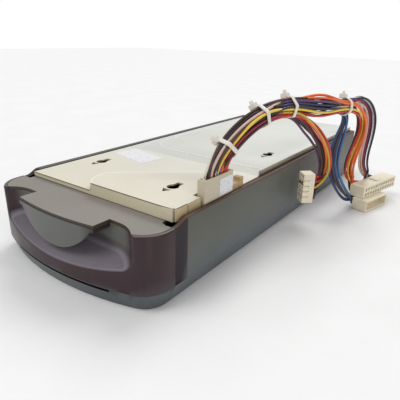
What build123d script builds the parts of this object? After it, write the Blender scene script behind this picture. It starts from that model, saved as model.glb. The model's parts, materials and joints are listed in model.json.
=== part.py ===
from build123d import *
import os
from math import atan2, cos, pi, radians, sin, sqrt, tan

# A bill validator with a note stacker, lying on its plastic housing.
# X runs across the notes, Y from the bezel (low) to the rear end (high), Z up.
# The origin is at the middle of the body's underside. Millimetres.

# ---------------------------------------------------------------- driving dimensions
body_width = 130.0
body_length = 312.0
rim_height = 46.0        # top edge of the housing's walls
wall = 2.5
sheet = 1.0              # the covers' sheet metal
note_width = 80.0
path_z = 8.6             # middle of the note path
path_gap = 2.0
bevel_height = 10.0      # band round the bottom edge, at the bezel
bevel_rear_height = 15.5
bevel_inset = 3.5
bezel_depth = 28.0       # from the front to the seam
deck_z = 43.0            # top of the bezel
deck_sheet = 1.8
deck_rim = 2.2           # the bezel's edge round the deck plate
deck_gap = 0.25
lip_round = 3.2          # round front edge of the scoop's floor
rim_round = 1.1          # round top edge of the bezel and of the housing's walls
ramp_length = 12.0       # the walls' top edge rises from the bezel's height over this length
facet_depth = 0.9        # flat at each wall's front end
facet_length = 11.0
ledge_thick = 3.4        # ledges along the walls that carry the covers
front_radius = 180.0
corner_radius = 17.0

# ---------------------------------------------------------------- worked out from them
half_width = body_width / 2
front_y = -body_length / 2
rear_y = body_length / 2
seam_y = front_y + bezel_depth
cover_front_y = seam_y + 4.0
step_y = -36.0           # where the rear cover starts
path_low = path_z - path_gap / 2
path_high = path_z + path_gap / 2
arc_y = front_y + front_radius            # centre of the front's long arc
inner_x = half_width - wall
shallow_z = rim_height
raised_z = rim_height + 4.6
rear_z = rim_height + 3.6
cover_left = -58.0
cover_right = 61.0
flange_z = deck_z + 0.4

# the scoop above the note slot, and the tongue that hangs into it
scoop_back_y = front_y + 15.6
scoop_flat_x = 38.0
scoop_side_radius = 20.8
scoop_round = 9.0        # where the floor meets the walls
scoop_lip_z = 17.0
scoop_floor_z = 30.0     # where the floor meets the back wall before it is rounded
tongue_half = 31.6
tongue_wall = 2.4
tongue_set_back = 1.6
tongue_drop_z = 24.0
tongue_curve = 35.4

# the transport
drive_z = 15.5
front_drive_y = -95.0
rear_drive_y = -22.0
drive_roller_radius = 6.9
pinch_radius = 2.8
pinch_z = 5.25
roller_x = 20.0
shaft_radius = 2.0
running = 0.06           # radial clearance of a shaft in its bush
bush_thick = 1.5
drive_roller_half = 5.0  # half the width of a roller
pinch_roller_half = 4.0
gate_y = -123.0
gate_z = 14.0
gate_pin_radius = 1.2
sensor_y = (-46.0, -32.0)
motor_y = -60.0
motor_z = 24.0
motor_radius = 12.0
side_plate_x = 43.0
side_plate = 2.0
gear_x = -47.5
gear_width = 3.0
pinion_teeth = 12
idler_teeth = 20
drive_teeth = 20
gear_root = 1.25         # depth of a tooth below the pitch circle
gear_tip = 0.95          # height of a tooth above it
motor_shaft_radius = 1.0
idler_pin_radius = 1.5
pulley_radius = 6.0
pulley_x = -54.5
belt_width = 5.0
belt_thick = 1.2

# the access door under the note path
door_half = 45.0
door_front_y = -111.0
door_rear_y = 15.5
door_low = 0.5
door_high = path_low
hinge_y = 20.0
hinge_z = 3.4
hinge_barrel = 2.8
hinge_pin = 1.25
hinge_lug_xs = (-41.0, 0.0, 41.0)
rib_pitch = 9.6
rib_gap = 6.4

# the stacker
stack_front_y = 24.0
stack_rear_y = 148.0
window_half = 33.0
pusher_travel = 4.4
pusher_base_z = 2.9
pusher_sheet = 1.6
post_x = 48.0
post_radius = 2.0
post_ys = (40.0, 136.0)
rack_x = 48.0
rack_top = 33.2
stacker_motor_y = 5.0
stacker_motor_z = 26.0
stacker_motor_radius = 9.5
plate_z = 12.2
spring_radius = 8.0
spring_wire = 0.9
spring_ys = (58.0, 118.0)

# the board and the connector that the harness plugs into
board_z = 38.0
board_thick = 1.6
board_x = (-52.0, 61.5)
board_y = (-112.0, 14.0)
board_screw_radius = 1.5
header_x = (56.6, 62.0)
header_y = (-101.0, -58.5)
header_top = 49.4
plug_x = (57.4, 62.6)
plug_y = (-100.4, -72.0)
plug_wall = 0.9
plug_top = 59.7
plug_floor = 52.0

# the connectors at the harness' ends
way_pitch = 4.2          # between the sockets of a row, and between the rows
connector_depth = 12.8
connector_thick = 9.6
connector_end = 1.7      # from the last socket's cell to the connector's end
small_depth = 8.5
small_end = 0.6
socket_width = 2.6
socket_depth = 5.1
groove_width = 0.9
groove_depth = 1.0
groove_length = 4.6
recess_wall = 1.3
recess_depth = 6.0

# screws through the housing's floor: the chassis' four, then the stack frame's two
screw_radius = 1.5
screw_head = 2.7
screw_head_z = 1.5
foot_top = 9.0
chassis_screw_places = [(x, y) for x in (-50.0, 50.0) for y in (-116.0, -6.0)]
frame_screw_places = [(-48.6, 100.0), (48.6, 100.0)]
housing_screw_places = chassis_screw_places + frame_screw_places

# keyholes: (x, y, height of the sheet there)
keyholes = ((-42.5, -80.0, shallow_z), (38.5, -98.0, raised_z), (46.0, 4.0, rear_z))
keyhole_radius = 3.6
keyhole_slot = 2.1
keyhole_tail = 7.6

# the harness: route points, and the diameters of its bundles
trunk_lower = [(60, -86, plug_top + 0.1), (60, -86, 65.2), (61.4, -81, 72.2), (63.4, -72.6, 79.4),
               (66.2, -60, 86.4), (69.6, -45, 90.8), (73.3, -29, 91.8)]
trunk_upper = [(73.3, -29, 91.8), (77.6, -11, 90.9), (83, 13, 89.2), (88.4, 36.3, 86.4)]
small_branch = [(74, -27.5, 84.8), (76.2, -17.5, 83.2), (79.2, -6.5, 78.6), (82.2, 3.4, 71),
                (85, 11.8, 61.6), (86.8, 17.2, 51.4), (86.8, 19.8, 41.5), (84.6, 19.3, 33.4),
                (78.9, 14.9, 28.7)]
lower_branch = [(84.8, 36.4, 82.6), (86.5, 42, 77), (87.4, 41, 68.8), (87.2, 35, 61),
                (87, 30.4, 52.6), (87.2, 30.6, 43.4), (88, 35.5, 34.4), (89.2, 43, 26),
                (90.6, 51.4, 18), (92.4, 60, 10.6), (94.8, 67, 5.8), (99.2, 72.6, 4.9)]
middle_branch = [(91.6, 36, 84.6), (93.6, 46.8, 83.4), (95.2, 57.6, 77.6), (95.4, 64.8, 68),
                 (94.2, 65.6, 57.4), (92, 63, 47.2), (90.2, 63.4, 37.2), (89, 68.2, 28.6),
                 (90, 75.2, 20.8), (95.4, 81.4, 14.6)]
outer_branch = [(88.4, 36.6, 91.2), (90.8, 48.4, 91.8), (93.4, 60.2, 89.4), (96, 71.6, 83.6),
                (97.8, 79.2, 73.6), (97.8, 80.8, 62.2), (96.6, 80, 51), (95.4, 82.2, 40.4),
                (94.8, 88, 31), (95.8, 96.4, 23), (100.8, 104.4, 15.2)]
trunk_lower_diameter = 12.0
trunk_upper_diameter = 14.0
branch_diameter = 7.4
tie_points = (((61.9, -79.2, 73.4), (1.8, 7.4, 7.2), trunk_lower_diameter),
              ((67.8, -52.8, 88.4), (3.5, 14.5, 4.4), trunk_lower_diameter),
              ((73.3, -29, 91.8), (4, 17, 0.2), trunk_lower_diameter),
              ((88.1, 35, 86.6), (5.4, 23.3, -2.8), trunk_upper_diameter))
tie_width = 2.6
tie_thick = 1.1


# ---------------------------------------------------------------- helpers
def block(x0, x1, y0, y1, z0, z1):
    """A box between two heights, given by its sides."""
    size = Box(x1 - x0, y1 - y0, z1 - z0)
    return Pos((x0 + x1) / 2, (y0 + y1) / 2, (z0 + z1) / 2) * size


def rod_x(radius, x0, x1, y, z):
    """A round bar along X."""
    return Pos((x0 + x1) / 2, y, z) * Rot(0, 90, 0) * Cylinder(radius, x1 - x0)


def rod_z(radius, x, y, z0, z1):
    """A round bar along Z."""
    return Pos(x, y, (z0 + z1) / 2) * Cylinder(radius, z1 - z0)


def prism(points, z0, z1):
    """A flat outline pulled up from z0 to z1."""
    outline = Face(Wire.make_polygon([(x, y, z0) for x, y in points]))
    return extrude(outline, amount=z1 - z0, dir=(0, 0, 1))


def slope_sided(low_points, z0, high_points, z1):
    """A solid with sloping sides between two outlines with the same number of corners."""
    low = Face(Wire.make_polygon([(x, y, z0) for x, y in low_points]))
    high = Face(Wire.make_polygon([(x, y, z1) for x, y in high_points]))
    return loft([low, high], ruled=True)


def both_sides(solid):
    """A solid and its mirror image across the middle plane."""
    return [solid, mirror(solid, about=Plane.YZ)]


def save(name, *solids):
    """Write one node, as one solid or as a group of separate ones."""
    shape = solids[0] if len(solids) == 1 else Compound(list(solids))
    export_step(shape, f"parts/{name}.step")


# ---------------------------------------------------------------- bezel and housing
def bezel_plan(inset, z):
    """The bezel seen from above: straight sides, round corners and a long front arc."""
    half = half_width - inset
    radius = front_radius - inset
    side_y = arc_y - sqrt(radius ** 2 - half ** 2)
    front = ThreePointArc((-half, side_y, z), (0, arc_y - radius, z), (half, side_y, z))
    back = Polyline((half, side_y, z), (half, seam_y, z), (-half, seam_y, z), (-half, side_y, z))
    outline = Face(Wire([front, *back.edges()]))
    corners = [v for v in outline.vertices() if v.Y < seam_y - 1]
    return outline.fillet_2d(corner_radius - inset, corners)


def scoop_plan(z0, z1, grow=0.0):
    """The finger scoop seen from above: a flat back, a round corner each side, open in front."""
    back = scoop_back_y + grow
    reach = radians(78)
    end_x = scoop_flat_x + scoop_side_radius * sin(reach)
    end_y = back - scoop_side_radius * (1 - cos(reach))
    middle_x = scoop_flat_x + scoop_side_radius * sin(reach / 2)
    middle_y = back - scoop_side_radius * (1 - cos(reach / 2))
    right = ThreePointArc((scoop_flat_x, back, z0), (middle_x, middle_y, z0), (end_x, end_y, z0))
    left = ThreePointArc((-scoop_flat_x, back, z0), (-middle_x, middle_y, z0),
                         (-end_x, end_y, z0))
    rim = Polyline((end_x, end_y, z0), (end_x, front_y - 20, z0), (-end_x, front_y - 20, z0),
                   (-end_x, end_y, z0))
    across = Line((-scoop_flat_x, back, z0), (scoop_flat_x, back, z0))
    outline = Face(Wire([across, right, *rim.edges(), left]))
    return extrude(outline, amount=z1 - z0, dir=(0, 0, 1))


def tongue_plan(depth_in, z0, z1, half):
    """The part of the bezel's top that reaches forward over the scoop."""
    bar = block(-half, half, front_y - 5, scoop_back_y + 1.0, z0, z1)
    disc = rod_z(front_radius - depth_in, 0, arc_y, z0, z1)
    return bar & disc


def scoop():
    """The space cut out above the slot: a floor that rises to the back, with round corners."""
    slope = (scoop_floor_z - scoop_lip_z) / (scoop_back_y - front_y)
    far_y = front_y - 20
    floor = [(far_y, scoop_lip_z - 20 * slope), (scoop_back_y + 1, scoop_floor_z + slope),
             (scoop_back_y + 1, rim_height + 5), (far_y, rim_height + 5)]
    side = Face(Wire.make_polygon([(-70, y, z) for y, z in floor]))
    space = scoop_plan(0, rim_height + 5) & extrude(side, amount=140, dir=(1, 0, 0))
    low = [e for e in space.edges()
           if e.center().Y > front_y + 4 and e.center().Z < scoop_floor_z + 1
           and abs(e.tangent_at(0.5).Z) < 0.75]
    return fillet(low, scoop_round)


def tongue():
    """The curved flap that hangs in front of the scoop, with a round lower edge."""
    ring = tongue_plan(tongue_set_back, tongue_drop_z, deck_z - deck_sheet, tongue_half)
    ring -= rod_z(front_radius - tongue_set_back - tongue_wall, 0, arc_y, tongue_drop_z - 1, deck_z)
    middle_z = tongue_drop_z + tongue_curve
    bowl = Pos(0, front_y, middle_z) * Rot(90, 0, 0) * Cylinder(tongue_curve, 60)
    return ring & bowl


def bezel_shell():
    """The front moulding, with the note slot, the scoop and the tongue."""
    low = loft([bezel_plan(bevel_inset, 0), bezel_plan(0, bevel_height)], ruled=True)
    upper = extrude(bezel_plan(0, bevel_height), amount=deck_z - bevel_height, dir=(0, 0, 1))
    shell = low + upper - scoop()
    lip = [e for e in shell.edges()
           if scoop_lip_z - 4 < e.center().Z < scoop_lip_z + 6 and e.center().Y < front_y + 10
           and e.length > 60]
    shell = fillet(lip, lip_round)
    top = [e for e in shell.edges() if e.center().Z > deck_z - 0.1 and e.center().Y < seam_y - 1
           and abs(e.center().X) > half_width - 0.1]
    shell = fillet(top, rim_round)
    shelf = tongue_plan(tongue_set_back, deck_z - deck_sheet - 2.2, deck_z - deck_sheet, tongue_half)
    shell = shell + shelf + tongue()
    shell -= deck_space(0.0)
    shell -= block(-half_width + 5, half_width - 5, scoop_back_y + wall, seam_y + 1, wall,
                   deck_z - deck_sheet - 2.0)
    shell -= block(-note_width / 2, note_width / 2, front_y - 5, seam_y + 1, path_low, path_high)
    return shell


def deck_space(gap):
    """The shallow pocket in the bezel's top that the deck plate fills, or the plate itself."""
    rim = deck_rim + gap
    plate = extrude(bezel_plan(rim, deck_z - deck_sheet), amount=deck_sheet + 1, dir=(0, 0, 1))
    plate -= scoop_plan(deck_z - 5, deck_z + 5, gap)
    reach = tongue_set_back + 2 * gap
    return plate + tongue_plan(reach, deck_z - deck_sheet, deck_z + 1, tongue_half - gap)


def bezel_deck():
    """The flat plate on top of the bezel; its rear edge reaches under the covers."""
    plate = deck_space(deck_gap)
    plate += block(-57, 58.5, seam_y - 1, cover_front_y + 2, deck_z - deck_sheet, deck_z)
    plate &= block(-70, 70, front_y - 5, cover_front_y + 2, deck_z - deck_sheet, deck_z)
    corner = [(54.8, cover_front_y + 3), (55.0, seam_y + 1.4), (59.5, seam_y - 0.4),
              (59.5, cover_front_y + 3)]
    return plate - prism(corner, deck_z - 3, deck_z + 1)


def housing_section(y, inset, height):
    """The housing's outline square to its length, with the sloping band at the bottom."""
    right = [(half_width - inset, 0), (half_width, height), (half_width, rim_height)]
    left = [(-x, z) for x, z in reversed(right)]
    return Face(Wire.make_polygon([(x, y, z) for x, z in right + left]))


def wall_ramp():
    """What is cut from the walls' top at the front, so that it sweeps down to the bezel."""
    low, high = deck_z, rim_height
    start, end = seam_y + 0.5, seam_y + ramp_length
    middle = (start + end) / 2
    sweep_up = Bezier((0, start, low), (0, middle, low), (0, middle, high), (0, end, high))
    rest = Polyline((0, end, high), (0, end, high + 1), (0, seam_y - 1, high + 1),
                    (0, seam_y - 1, low), (0, start, low))
    outline = Face(Wire([sweep_up, *rest.edges()]))
    return Pos(-half_width - 1, 0, 0) * extrude(outline, amount=body_width + 2, dir=(1, 0, 0))


def lower_housing():
    """The long plastic tub: flat sides, a sloping bottom band and a lipped top edge."""
    tub = loft([housing_section(seam_y, bevel_inset, bevel_height),
                housing_section(rear_y, bevel_inset, bevel_rear_height)], ruled=True)
    tub -= block(-inner_x + bevel_inset, inner_x - bevel_inset, seam_y - 1, rear_y - wall,
                 wall, rim_height)
    tub -= block(-inner_x, inner_x, seam_y - 1, rear_y - wall, bevel_rear_height,
                 rim_height - 3)
    tub -= block(-half_width + 5, inner_x - 0.3, seam_y - 1, rear_y - wall, rim_height - 3.1,
                 rim_height + 1)
    facet_end = seam_y - 1 + facet_length
    facet = [(half_width - facet_depth, seam_y - 1), (half_width + 1, seam_y - 1),
             (half_width + 1, facet_end), (half_width, facet_end)]
    for cut in both_sides(prism(facet, bevel_height, rim_height + 1)):
        tub -= cut
    tub -= wall_ramp()
    top = [e for e in tub.edges() if e.center().Z > rim_height - 0.1 and e.length > 100
           and abs(e.center().X) > half_width - 0.1]
    tub = fillet(top, rim_round)
    tub -= block(-door_half - 1, door_half + 1, door_front_y - 1, hinge_y + 3.4, -1, wall + 1)
    for x in hinge_lug_xs:
        lug = block(x - 2, x + 2, hinge_y - 3, hinge_y + 4, 0.4, hinge_z + 2.6)
        tub += lug - rod_x(hinge_pin, x - 3, x + 3, hinge_y, hinge_z)
    ledge_top = rim_height - sheet - 0.1
    tub += block(-inner_x, cover_left + 4, seam_y + 8, rear_y - wall, ledge_top - ledge_thick, ledge_top)
    tub += block(cover_right - 6, inner_x, step_y + 1, rear_y - wall, ledge_top - ledge_thick, ledge_top)
    for x, y in housing_screw_places:
        tub -= rod_z(screw_radius + 0.2, x, y, -1, wall + 1)
        tub -= rod_z(screw_head + 0.2, x, y, -1, screw_head_z)
    return tub


def housing_screws():
    """The screws that hold the chassis and the stack frame to the housing's floor."""
    return [rod_z(screw_radius, x, y, screw_head_z, foot_top - 1)
            + rod_z(screw_head, x, y, 0.4, screw_head_z) for x, y in housing_screw_places]


def screwed_foot(x, y):
    """A foot beside a side plate, with the hole for its screw."""
    inside, outside = sorted((x - 5 if x > 0 else x + 5, x + 4 if x > 0 else x - 4))
    foot = block(inside, outside, y - 4, y + 4, wall, foot_top)
    return foot - rod_z(screw_radius, x, y, wall - 1, foot_top + 1)


# ---------------------------------------------------------------- covers
def keyhole_cut(x, y, z):
    """A round hole with a slot towards the rear, and a small three-cornered hole before it."""
    hole = rod_z(keyhole_radius, x, y, z - 4, z + 1)
    hole += block(x - keyhole_slot, x + keyhole_slot, y, y + keyhole_tail, z - 4, z + 1)
    front = y - keyhole_radius - 1.4
    nick = [(x - 3, front), (x + 3, front), (x, front - 4.4)]
    return hole + prism(nick, z - 4, z + 1)


def hollowed(outer, x0, x1, y0, y1):
    """A sheet of even thickness: the outer form less itself one sheet lower."""
    return outer - ((Pos(0, 0, -sheet) * outer) & block(x0, x1, y0, y1, 0, 100))


def front_cover():
    """The cream sheet over the front half, with a raised panel on its right."""
    low = [(-3, cover_front_y), (-12.5, cover_front_y + 8), (-15, cover_front_y + 21),
           (33.5, cover_front_y + 64), (cover_right, cover_front_y + 64),
           (cover_right, cover_front_y)]
    high = [(-1.5, cover_front_y), (-8.5, cover_front_y + 7), (-10.5, cover_front_y + 19.5),
            (35.3, cover_front_y + 58.8), (cover_right, cover_front_y + 58.8),
            (cover_right, cover_front_y)]
    outer = block(cover_left, cover_right, cover_front_y, step_y - 0.2, flange_z, shallow_z)
    outer += slope_sided(low, shallow_z - 2, high, raised_z)
    cover = hollowed(outer, cover_left - 1, cover_right - sheet, cover_front_y + sheet,
                     step_y + 1)
    cover -= block(header_x[0] - 1, half_width, header_y[0] - 0.6, header_y[1] + 1, 40, 60)
    cover -= block(cover_right - 2, half_width, cover_front_y + 10.8, cover_front_y + 11.3,
                   40, raised_z - 0.6)
    cover -= block(cover_right - sheet - 0.2, half_width, cover_front_y - 1,
                   cover_front_y + sheet + 0.2, 40, 60)
    for x, y, z in keyholes[:2]:
        cover -= keyhole_cut(x, y, z)
    return cover


def rear_cover():
    """The grey sheet over the rear half; it steps up along its front edge."""
    back = rear_y - wall - 0.4
    low = [(-46, step_y), (cover_right, step_y), (cover_right, back), (-46, back)]
    high = [(-42.5, step_y + 5), (cover_right, step_y + 5), (cover_right, back), (-42.5, back)]
    outer = block(cover_left, cover_right, step_y, back, rim_height - 1, shallow_z)
    outer += slope_sided(low, shallow_z - 1, high, rear_z)
    cover = hollowed(outer, cover_left - 1, cover_right - sheet, step_y - 1, back - sheet)
    cover += block(cover_right - sheet, cover_right, step_y, step_y + 6, shallow_z - 1, rear_z)
    return cover - keyhole_cut(*keyholes[2])


def rating_label():
    """The blank sticker on the front cover."""
    return Pos(-33.5, -52, shallow_z + 0.08) * Rot(0, 0, -11) * Box(36, 20, 0.16)


# ---------------------------------------------------------------- note path and door
def access_door():
    """The hinged underside of the note path, ribbed on top, with pockets for the rollers."""
    door = block(-door_half, door_half, door_front_y, door_rear_y, door_low, door_high)
    for y in (front_drive_y, rear_drive_y):
        for x in (-roller_x, roller_x):
            door -= block(x - 5, x + 5, y - 4, y + 4, 2.2, door_high + 1)
        door -= rod_x(hinge_pin + running, -roller_x - 9, roller_x + 9, y, pinch_z)
    for x in [k * rib_pitch for k in range(-4, 5)]:
        for y0, y1 in ((-80, -50), (-12, 10)):
            door -= block(x - rib_gap / 2, x + rib_gap / 2, y0, y1, 2.2, door_high + 1)
    door -= block(-41, 41, *sensor_y, door_high - 1.6, door_high + 1)
    for x0, x1 in ((-38.5, -2.5), (2.5, 38.5)):
        door += rod_x(hinge_barrel, x0, x1, hinge_y, hinge_z)
        door += block(x0, x1, door_rear_y - 1, hinge_y, door_low + 0.1, hinge_z + 1.6)
    door -= rod_x(hinge_pin + running, -50, 50, hinge_y, hinge_z)
    grip = block(-12, 12, door_front_y - 1, door_front_y + 5, door_low - 1, door_low + 1.6)
    return door - grip


def entry_guide():
    """The fixed floor of the note path between the bezel and the door."""
    plate = block(-44, 44, seam_y + 0.2, door_front_y - 1.2, wall, path_low)
    for k in range(-3, 4):
        plate -= block(k * 12 - 4, k * 12 + 4, seam_y + 2, door_front_y - 3, wall - 1, 6)
    return plate


def upper_guide():
    """The transport chassis: the top of the note path and two side plates."""
    rear = hinge_y - 1
    plate = block(-side_plate_x, side_plate_x, -117, rear, path_high, path_high + 2)
    for y in (front_drive_y, rear_drive_y):
        for x in (-roller_x, roller_x):
            plate -= block(x - 6.5, x + 6.5, y - 8, y + 8, path_high - 1, path_high + 3)
    plate -= block(-40, 40, sensor_y[0] + 1, sensor_y[1] - 1, path_high - 1, path_high + 3)
    for sign in (-1, 1):
        inside, outside = sorted((sign * side_plate_x, sign * (side_plate_x + side_plate)))
        side = block(inside, outside, seam_y + 1, rear, path_high, board_z)
        for y in (front_drive_y, rear_drive_y):
            side -= rod_x(shaft_radius + bush_thick, inside - 1, outside + 1, y, drive_z)
        side -= rod_x(gate_pin_radius + 0.1, inside - 1, outside + 1, gate_y, gate_z)
        plate += side
    plate -= rod_x(4, -side_plate_x - 3, -side_plate_x + 1, motor_y, motor_z)
    plate -= rod_x(4, side_plate_x - 1, side_plate_x + 3, stacker_motor_y, stacker_motor_z)
    for x, y in chassis_screw_places:
        plate += screwed_foot(x, y)
        inside, outside = sorted((x, x - 7 if x > 0 else x + 7))
        plate += block(inside, outside, y - 4, y + 4, foot_top, foot_top + 3)
    return plate


def shaft_bushes():
    """The four plain bearings of the two drive shafts."""
    made = []
    for y in (front_drive_y, rear_drive_y):
        for sign in (-1, 1):
            inside, outside = sorted((sign * side_plate_x, sign * (side_plate_x + side_plate)))
            bush = rod_x(shaft_radius + bush_thick, inside, outside, y, drive_z)
            bush -= rod_x(shaft_radius + running, inside - 1, outside + 1, y, drive_z)
            made.append(bush)
    return made


def drive_shaft(y, left_x):
    """A steel shaft across the note path."""
    return rod_x(shaft_radius, left_x, side_plate_x + 4, y, drive_z)


def drive_rollers(y):
    """The two rubber rollers on a drive shaft."""
    made = []
    for x in (-roller_x, roller_x):
        tyre = rod_x(drive_roller_radius, x - drive_roller_half, x + drive_roller_half, y, drive_z)
        made.append(tyre - rod_x(shaft_radius, x - 6, x + 6, y, drive_z))
    return made


def pinch_shaft(y):
    """The thin axle that two pinch rollers turn with."""
    return rod_x(hinge_pin, -roller_x - 8, roller_x + 8, y, pinch_z)


def pinch_rollers(y):
    """The two small rollers in the door that press the note on the drive rollers."""
    made = []
    for x in (-roller_x, roller_x):
        roller = rod_x(pinch_radius, x - pinch_roller_half, x + pinch_roller_half, y, pinch_z)
        made.append(roller - rod_x(hinge_pin, x - 5, x + 5, y, pinch_z))
    return made


def entry_gate():
    """The sprung flap behind the slot that stops a note from being pulled back."""
    barrel = rod_x(2.3, -41, 41, gate_y, gate_z)
    flap = block(-39, 39, gate_y - 0.7, gate_y + 0.7, path_low + 0.3, gate_z)
    for x in (-30, -15, 0, 15, 30):
        flap -= block(x - 2.5, x + 2.5, gate_y - 2, gate_y + 2, path_low - 1, 10.5)
    return barrel + flap - rod_x(gate_pin_radius + running, -45, 45, gate_y, gate_z)


def gate_pin():
    """The pin that the entry gate turns on."""
    end = side_plate_x + side_plate
    return rod_x(gate_pin_radius, -end, end, gate_y, gate_z)


def lower_light_bar():
    """The clear light bar under the note path."""
    return block(-40.6, 40.6, -45.6, -32.4, door_high - 1.6, door_high - 0.1)


def sensor_window():
    """The clear strip in the top of the note path."""
    return block(-39.8, 39.8, -44.8, -33.2, path_high + 0.1, path_high + 1.9)


def sensor_head():
    """The optical head that reads the note through the window."""
    case = block(-41, 41, -47, -31.5, path_high + 2, 21)
    return case - block(-38, 38, -45, -33.5, path_high, 18)


# ---------------------------------------------------------------- gears
def gear(teeth, x, y, z, phase):
    """A spur gear of module 1 on an axis along X; phase is one tooth's angle from +Y to +Z."""
    pitch_radius = teeth / 2
    root_radius = pitch_radius - gear_root
    tip_radius = pitch_radius + gear_tip
    pitch = 2 * pi / teeth
    wheel = rod_x(root_radius, x - gear_width / 2, x + gear_width / 2, y, z)
    for k in range(teeth):
        middle = phase + k * pitch
        corners = []
        for radius, share in ((root_radius - 0.3, -0.33), (tip_radius, -0.105),
                              (tip_radius, 0.105), (root_radius - 0.3, 0.33)):
            angle = middle + share * pitch
            corners.append((x - gear_width / 2, y + radius * cos(angle), z + radius * sin(angle)))
        tooth = extrude(Face(Wire.make_polygon(corners)), amount=gear_width, dir=(1, 0, 0))
        wheel += tooth
    return wheel


def mesh_angle():
    """The direction from the motor pinion to the front drive gear, from +Y to +Z."""
    return atan2(drive_z - motor_z, front_drive_y - motor_y)


def idler_place():
    """The middle of the idler gear, one pitch distance from the pinion."""
    reach = (pinion_teeth + idler_teeth) / 2
    return motor_y + reach * cos(mesh_angle()), motor_z + reach * sin(mesh_angle())


def motor_pinion():
    """The small gear on the transport motor's shaft."""
    wheel = gear(pinion_teeth, gear_x, motor_y, motor_z, mesh_angle())
    return wheel - rod_x(motor_shaft_radius, gear_x - 5, gear_x + 5, motor_y, motor_z)


def idler_gear():
    """The gear between the pinion and the front drive gear."""
    y, z = idler_place()
    wheel = gear(idler_teeth, gear_x, y, z, mesh_angle() + pi + pi / idler_teeth)
    return wheel - rod_x(idler_pin_radius + running, gear_x - 5, gear_x + 5, y, z)


def idler_pin():
    """The fixed pin of the idler gear, standing out of the left side plate."""
    y, z = idler_place()
    return rod_x(idler_pin_radius, gear_x - 3, -side_plate_x - side_plate, y, z)


def front_drive_gear():
    """The driven gear on the front drive shaft."""
    wheel = gear(drive_teeth, gear_x, front_drive_y, drive_z, mesh_angle() + pi)
    return wheel - rod_x(shaft_radius, gear_x - 5, gear_x + 5, front_drive_y, drive_z)


def belt_pulley(y):
    """A flanged pulley for the transport belt."""
    low, high = pulley_x - belt_width / 2 - 0.4, pulley_x + belt_width / 2 + 0.4
    wheel = rod_x(pulley_radius, low, high, y, drive_z)
    wheel += rod_x(pulley_radius + 1.0, low - 1, low, y, drive_z)
    wheel += rod_x(pulley_radius + 1.0, high, high + 1, y, drive_z)
    return wheel - rod_x(shaft_radius, low - 2, high + 2, y, drive_z)


def belt_loop(radius):
    """A flat loop round both pulleys, as a filled outline."""
    low, high = pulley_x - belt_width / 2, pulley_x + belt_width / 2
    loop = block(low, high, front_drive_y, rear_drive_y, drive_z - radius, drive_z + radius)
    for y in (front_drive_y, rear_drive_y):
        loop += rod_x(radius, low, high, y, drive_z)
    return loop


def drive_belt():
    """The belt that carries the front shaft's turning to the rear shaft."""
    inner = pulley_radius + 0.3
    return belt_loop(inner + belt_thick) - belt_loop(inner)


def motor(y, z, radius, x0, x1, shaft_end):
    """A can motor along X with a boss at its shaft end; returns its body and its shaft."""
    body = rod_x(radius, x0, x1, y, z)
    near = x0 if shaft_end < x0 else x1
    sign = -1 if shaft_end < x0 else 1
    boss = sorted((near, near + sign * 1.4))
    body += rod_x(3.2, boss[0], boss[1], y, z)
    span = sorted((near - sign * 6, shaft_end))
    body -= rod_x(motor_shaft_radius + running, span[0] - 0.3, span[1] + 1, y, z)
    return body, rod_x(motor_shaft_radius, span[0], span[1], y, z)


# ---------------------------------------------------------------- stacker
def stack_frame():
    """The note stack's side walls, with rails that hold a note's edges over the window."""
    pieces = block(-43.5, 43.5, stack_front_y, stack_rear_y, path_high, path_high + 1.6)
    pieces -= block(-window_half, window_half, stack_front_y + 4, stack_rear_y - 4,
                    path_high - 1, path_high + 3)
    for sign in (-1, 1):
        inside, outside = sorted((sign * 41.5, sign * 43.5))
        side = block(inside, outside, stack_front_y, stack_rear_y, wall, rim_height - 7)
        ledge_in, ledge_out = sorted((sign * 37.5, sign * 42.0))
        side += block(ledge_in, ledge_out, stack_front_y, stack_rear_y, path_low - 1.6, path_low)
        for y in post_ys:
            side -= block(-60, 60, y - 5, y + 5, wall - 1, path_high)
        pieces += side
    for x, y in frame_screw_places:
        pieces += screwed_foot(x, y)
    return pieces


def pusher_plate():
    """The plate that lifts each note through the window, with four ears and the rack's arm."""
    top = pusher_base_z + pusher_sheet
    plate = block(-36, 36, 30, 146, pusher_base_z, top)
    plate += block(-30, 30, 34, 142, top, path_low - 0.4)
    for y in post_ys:
        plate += block(-52, 52, y - 4, y + 4, pusher_base_z, top)
    plate -= block(-24, 24, 34, 142, pusher_base_z - 1, top + 0.2)
    plate += block(rack_x - 2, rack_x + 4, stacker_motor_y + 7, 40, pusher_base_z, top)
    for y in post_ys:
        for x in (-post_x, post_x):
            plate -= rod_z(post_radius + running, x, y, 0, 20)
    return plate


def pusher_rack():
    """The toothed bar that the stacker pinion lifts; module 1, teeth towards the pinion."""
    face_y = stacker_motor_y + pinion_teeth / 2
    x0, x1 = rack_x - gear_width / 2, rack_x + gear_width / 2
    bar = block(x0, x1, face_y + gear_root, face_y + 4.5, pusher_base_z + pusher_sheet, rack_top)
    for k in range(-5, 2):
        middle = stacker_motor_z + (k + 0.5) * pi
        points = [(face_y + 1.5, middle - 1.08), (face_y - 0.9, middle - 0.32),
                  (face_y - 0.9, middle + 0.32), (face_y + 1.5, middle + 1.08)]
        outline = Face(Wire.make_polygon([(x0, y, z) for y, z in points]))
        bar += extrude(outline, amount=gear_width, dir=(1, 0, 0))
    return bar


def stacker_pinion():
    """The small gear on the stacker motor's shaft."""
    wheel = gear(pinion_teeth, rack_x, stacker_motor_y, stacker_motor_z, 0.0)
    bore = rod_x(motor_shaft_radius, rack_x - 5, rack_x + 5, stacker_motor_y, stacker_motor_z)
    return wheel - bore


def guide_posts():
    """The four posts that the pusher plate slides on."""
    return [rod_z(post_radius, x, y, wall, 16) for x in (-post_x, post_x) for y in post_ys]


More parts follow.
